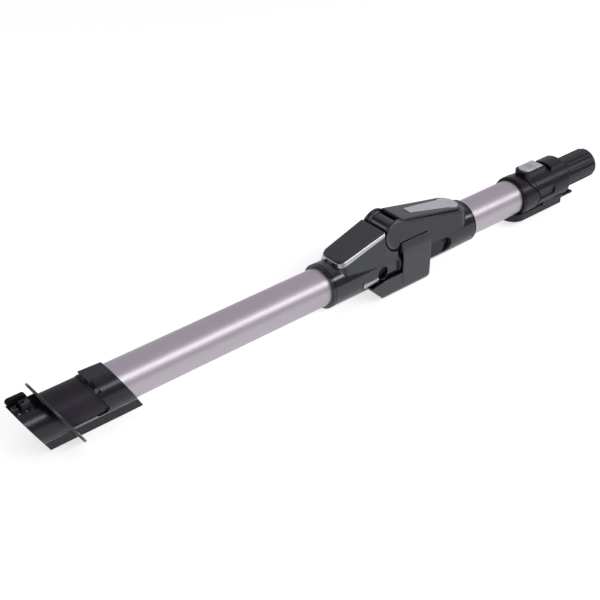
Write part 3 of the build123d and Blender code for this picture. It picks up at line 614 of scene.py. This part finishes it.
def make_ear_rims():
    """The rounded rims of the two ears round the hinge, in a lighter grey that paints their highlight."""
    ear_radius, ear_half, ear_draft = 14.7, 17.6, 0.135
    hinge_height = 32.4
    rim_radius, side_inset = 1.5, 1.1
    first_turn, last_turn, steps = 62, 250, 60
    radius = ear_radius - rim_radius

    def rims(shape):
        for way in (-1, 1):
            stops = []
            for step in range(steps + 1):
                turn = math.radians(first_turn + (last_turn - first_turn) * step / steps)
                outward = Vector((math.cos(turn), 0, math.sin(turn)))
                rise = radius * math.sin(turn)
                half = ear_half - ear_draft * rise - side_inset
                centre = place_at(radius * math.cos(turn), way * half, hinge_height + rise)
                stops.append((centre, outward, way * sideways))
            bead(shape, stops, rim_radius)

    piece("ear_rims", rims, "rim_highlight_grey", "upper")


def make_collar_shell():
    """The end collar's raised front shell, whose edge sweeps down beside the button's housing, and a near-black band
    in its groove that paints the groove's shade.
    """
    collar_radius = 21.6
    first = 184.9
    top_edge, side_edge = 197.3, 208.5
    sweep_start, sweep = 27, 62
    raised = 0.75
    sunk, inner, groove_floor = 0.15, 0.6, 0.4
    groove_start, groove_end, groove_proud = -0.2, 1.3, 0.06
    reach, steps_round = 127, 128
    steps_along, crowding = 14, 1.6
    rise_rate, fall_rate = 8, 9
    turns = [-reach + 2 * reach * k / steps_round for k in range(steps_round + 1)]

    def edge(turn):
        share = min(max((abs(turn) - sweep_start) / sweep, 0), 1)
        return top_edge + (side_edge - top_edge) * share * share * (3 - 2 * share)

    def lift(share):
        """How high the shell stands: a quarter wave at its start, and a round fall at its edge."""
        start = math.sqrt(math.sin(math.pi / 2 * min(share * rise_rate, 1)))
        return raised * start * math.sqrt(min((1 - share) * fall_rate, 1))

    def shell_section(turn):
        points = []
        for step in range(steps_along + 1):
            share = 1 - (1 - step / steps_along) ** crowding
            station = first + (edge(turn) - first) * share
            points.append((station, collar_radius - sunk + lift(share)))
        return points + [(edge(turn), collar_radius - inner), (first, collar_radius - inner)]

    def groove_section(turn):
        start, end = edge(turn) + groove_start, edge(turn) + groove_end
        high, low = collar_radius + groove_proud, collar_radius - groove_floor
        return [(start, high), (end, high), (end, low), (start, low)]

    def swept(section):
        def fill(shape):
            rings = []
            for turn in turns:
                rings.append([shape.verts.new(round_at(station, radius, turn)) for station, radius in section(turn)])
            skin(shape, rings)

        return fill

    piece("collar_shell", swept(shell_section), "end_black", "upper")
    # The groove's band stands a little proud and is near black: painted shade.
    piece("collar_groove_shade", swept(groove_section), "painted_shade_black", "upper")


def make_spigot_ribs():
    """Thin raised rods on both sides of the spigot's flutes, in a lighter grey that paints the highlights of the
    flutes' edges.
    """
    rib_circle, rib_radius = 16.32, 0.42
    first, last = 267.5, 308.6
    flutes, flute_half = 8, 8.9
    step = 360 / flutes

    def ribs(shape):
        for k in range(flutes):
            for side in (-flute_half, flute_half):
                turn = step * (k + 0.5) + side
                rod(shape, round_at(first, rib_circle, turn), round_at(last, rib_circle, turn), rib_radius)

    piece("spigot_ribs", ribs, "flute_highlight_grey", "upper")


def make_button_ribs():
    """Three fine ribs across the end button."""
    low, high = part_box("end_button")
    middle = (low.x + high.x) / 2
    rib_half, rib_pitch, rib_radius = 4.2 * MM, 3.2 * MM, 0.5

    def ribs(shape):
        for k in (-1, 0, 1):
            x = middle + k * rib_pitch
            rod(shape, Vector((x, -rib_half, high.z)), Vector((x, rib_half, high.z)), rib_radius)

    piece("end_button_ribs", ribs, "silver_button", "end_release")


def make_floor():
    """A pale floor, lifted towards white for the camera, that still shows the object's shadow."""
    shape = bmesh.new()
    bmesh.ops.create_grid(shape, x_segments=1, y_segments=1, size=floor_size / 2)
    mesh = bpy.data.meshes.new("studio_floor")
    shape.to_mesh(mesh)
    shape.free()
    floor = bpy.data.objects.new("studio_floor", mesh)
    bpy.context.scene.collection.objects.link(floor)
    finish = Finish(
        "studio_floor",
        Base_Color=floor_colour,
        Roughness=0.9,
        Specular_IOR_Level=0.0,
        Emission_Strength=1.0,
    )
    rays = finish.rays()
    shown = rays["Is Camera Ray"] * floor_lift + rays["Is Glossy Ray"] * floor_mirrored
    finish.feed("Emission Color", finish.tint(shown + rays["Is Transmission Ray"], no_glow, white))
    mesh.materials.append(finish.material)


def make_sky():
    """A sky that darkens towards the camera's side and the socket end, and that the camera sees white."""
    world = bpy.data.worlds.new("studio")
    bpy.context.scene.world = world
    world.use_nodes = True
    sky = Tree(world.node_tree, "Background")
    direction = sky.split(sky.add("ShaderNodeTexCoord", {}, {}, "Generated"))
    shade = world_colour
    for axis, (low, high), colour in (("Y", near_reach, near_colour), ("X", dark_reach, dark_colour)):
        values = {"Value": direction[axis], "From Min": low, "From Max": high, "To Min": 1.0, "To Max": 0.0}
        share = sky.add("ShaderNodeMapRange", {"interpolation_type": "SMOOTHSTEP"}, values, "Result")
        shade = sky.tint(share, shade, colour)
    rays = sky.rays()
    for share in (rays["Is Glossy Ray"] * sky_mirrored, rays["Is Transmission Ray"], rays["Is Camera Ray"]):
        shade = sky.tint(share, shade, white)
    sky.feed("Color", shade)


def soft_light(name, place, target, size, power):
    data = bpy.data.lights.new(name, "AREA")
    data.shape = "RECTANGLE"
    data.size, data.size_y = size
    data.energy = power
    lamp = bpy.data.objects.new(name, data)
    lamp.location = place
    lamp.rotation_euler = (target - place).to_track_quat("-Z", "Y").to_euler()
    bpy.context.scene.collection.objects.link(lamp)


def make_lamps():
    """A long soft light before the object, and a weak fill behind it."""
    key_target = Vector((key_shift, 0, 0))
    away = Vector((0, -math.cos(key_elevation), math.sin(key_elevation)))
    soft_light("key", key_target + away * key_distance, key_target, key_size, key_power)
    soft_light("fill", fill_place, fill_target, fill_size, fill_power)


def make_camera():
    data = bpy.data.cameras.new("camera")
    data.lens = camera_lens
    data.sensor_width = camera_sensor
    camera = bpy.data.objects.new("camera", data)
    camera.location = hinge + eye_from_hinge
    camera.rotation_euler = (math.pi / 2 - camera_pitch, 0, -camera_heading)
    bpy.context.scene.collection.objects.link(camera)
    bpy.context.scene.camera = camera


make_camera()
make_floor()
make_sky()
make_lamps()
dress_nodes()
make_hose()
make_springs()
make_socket_lines()
make_trim_band()
make_flange_line()
make_ear_rims()
make_collar_shell()
make_spigot_ribs()
make_button_ribs()

bpy.context.scene.view_settings.view_transform = "Standard"
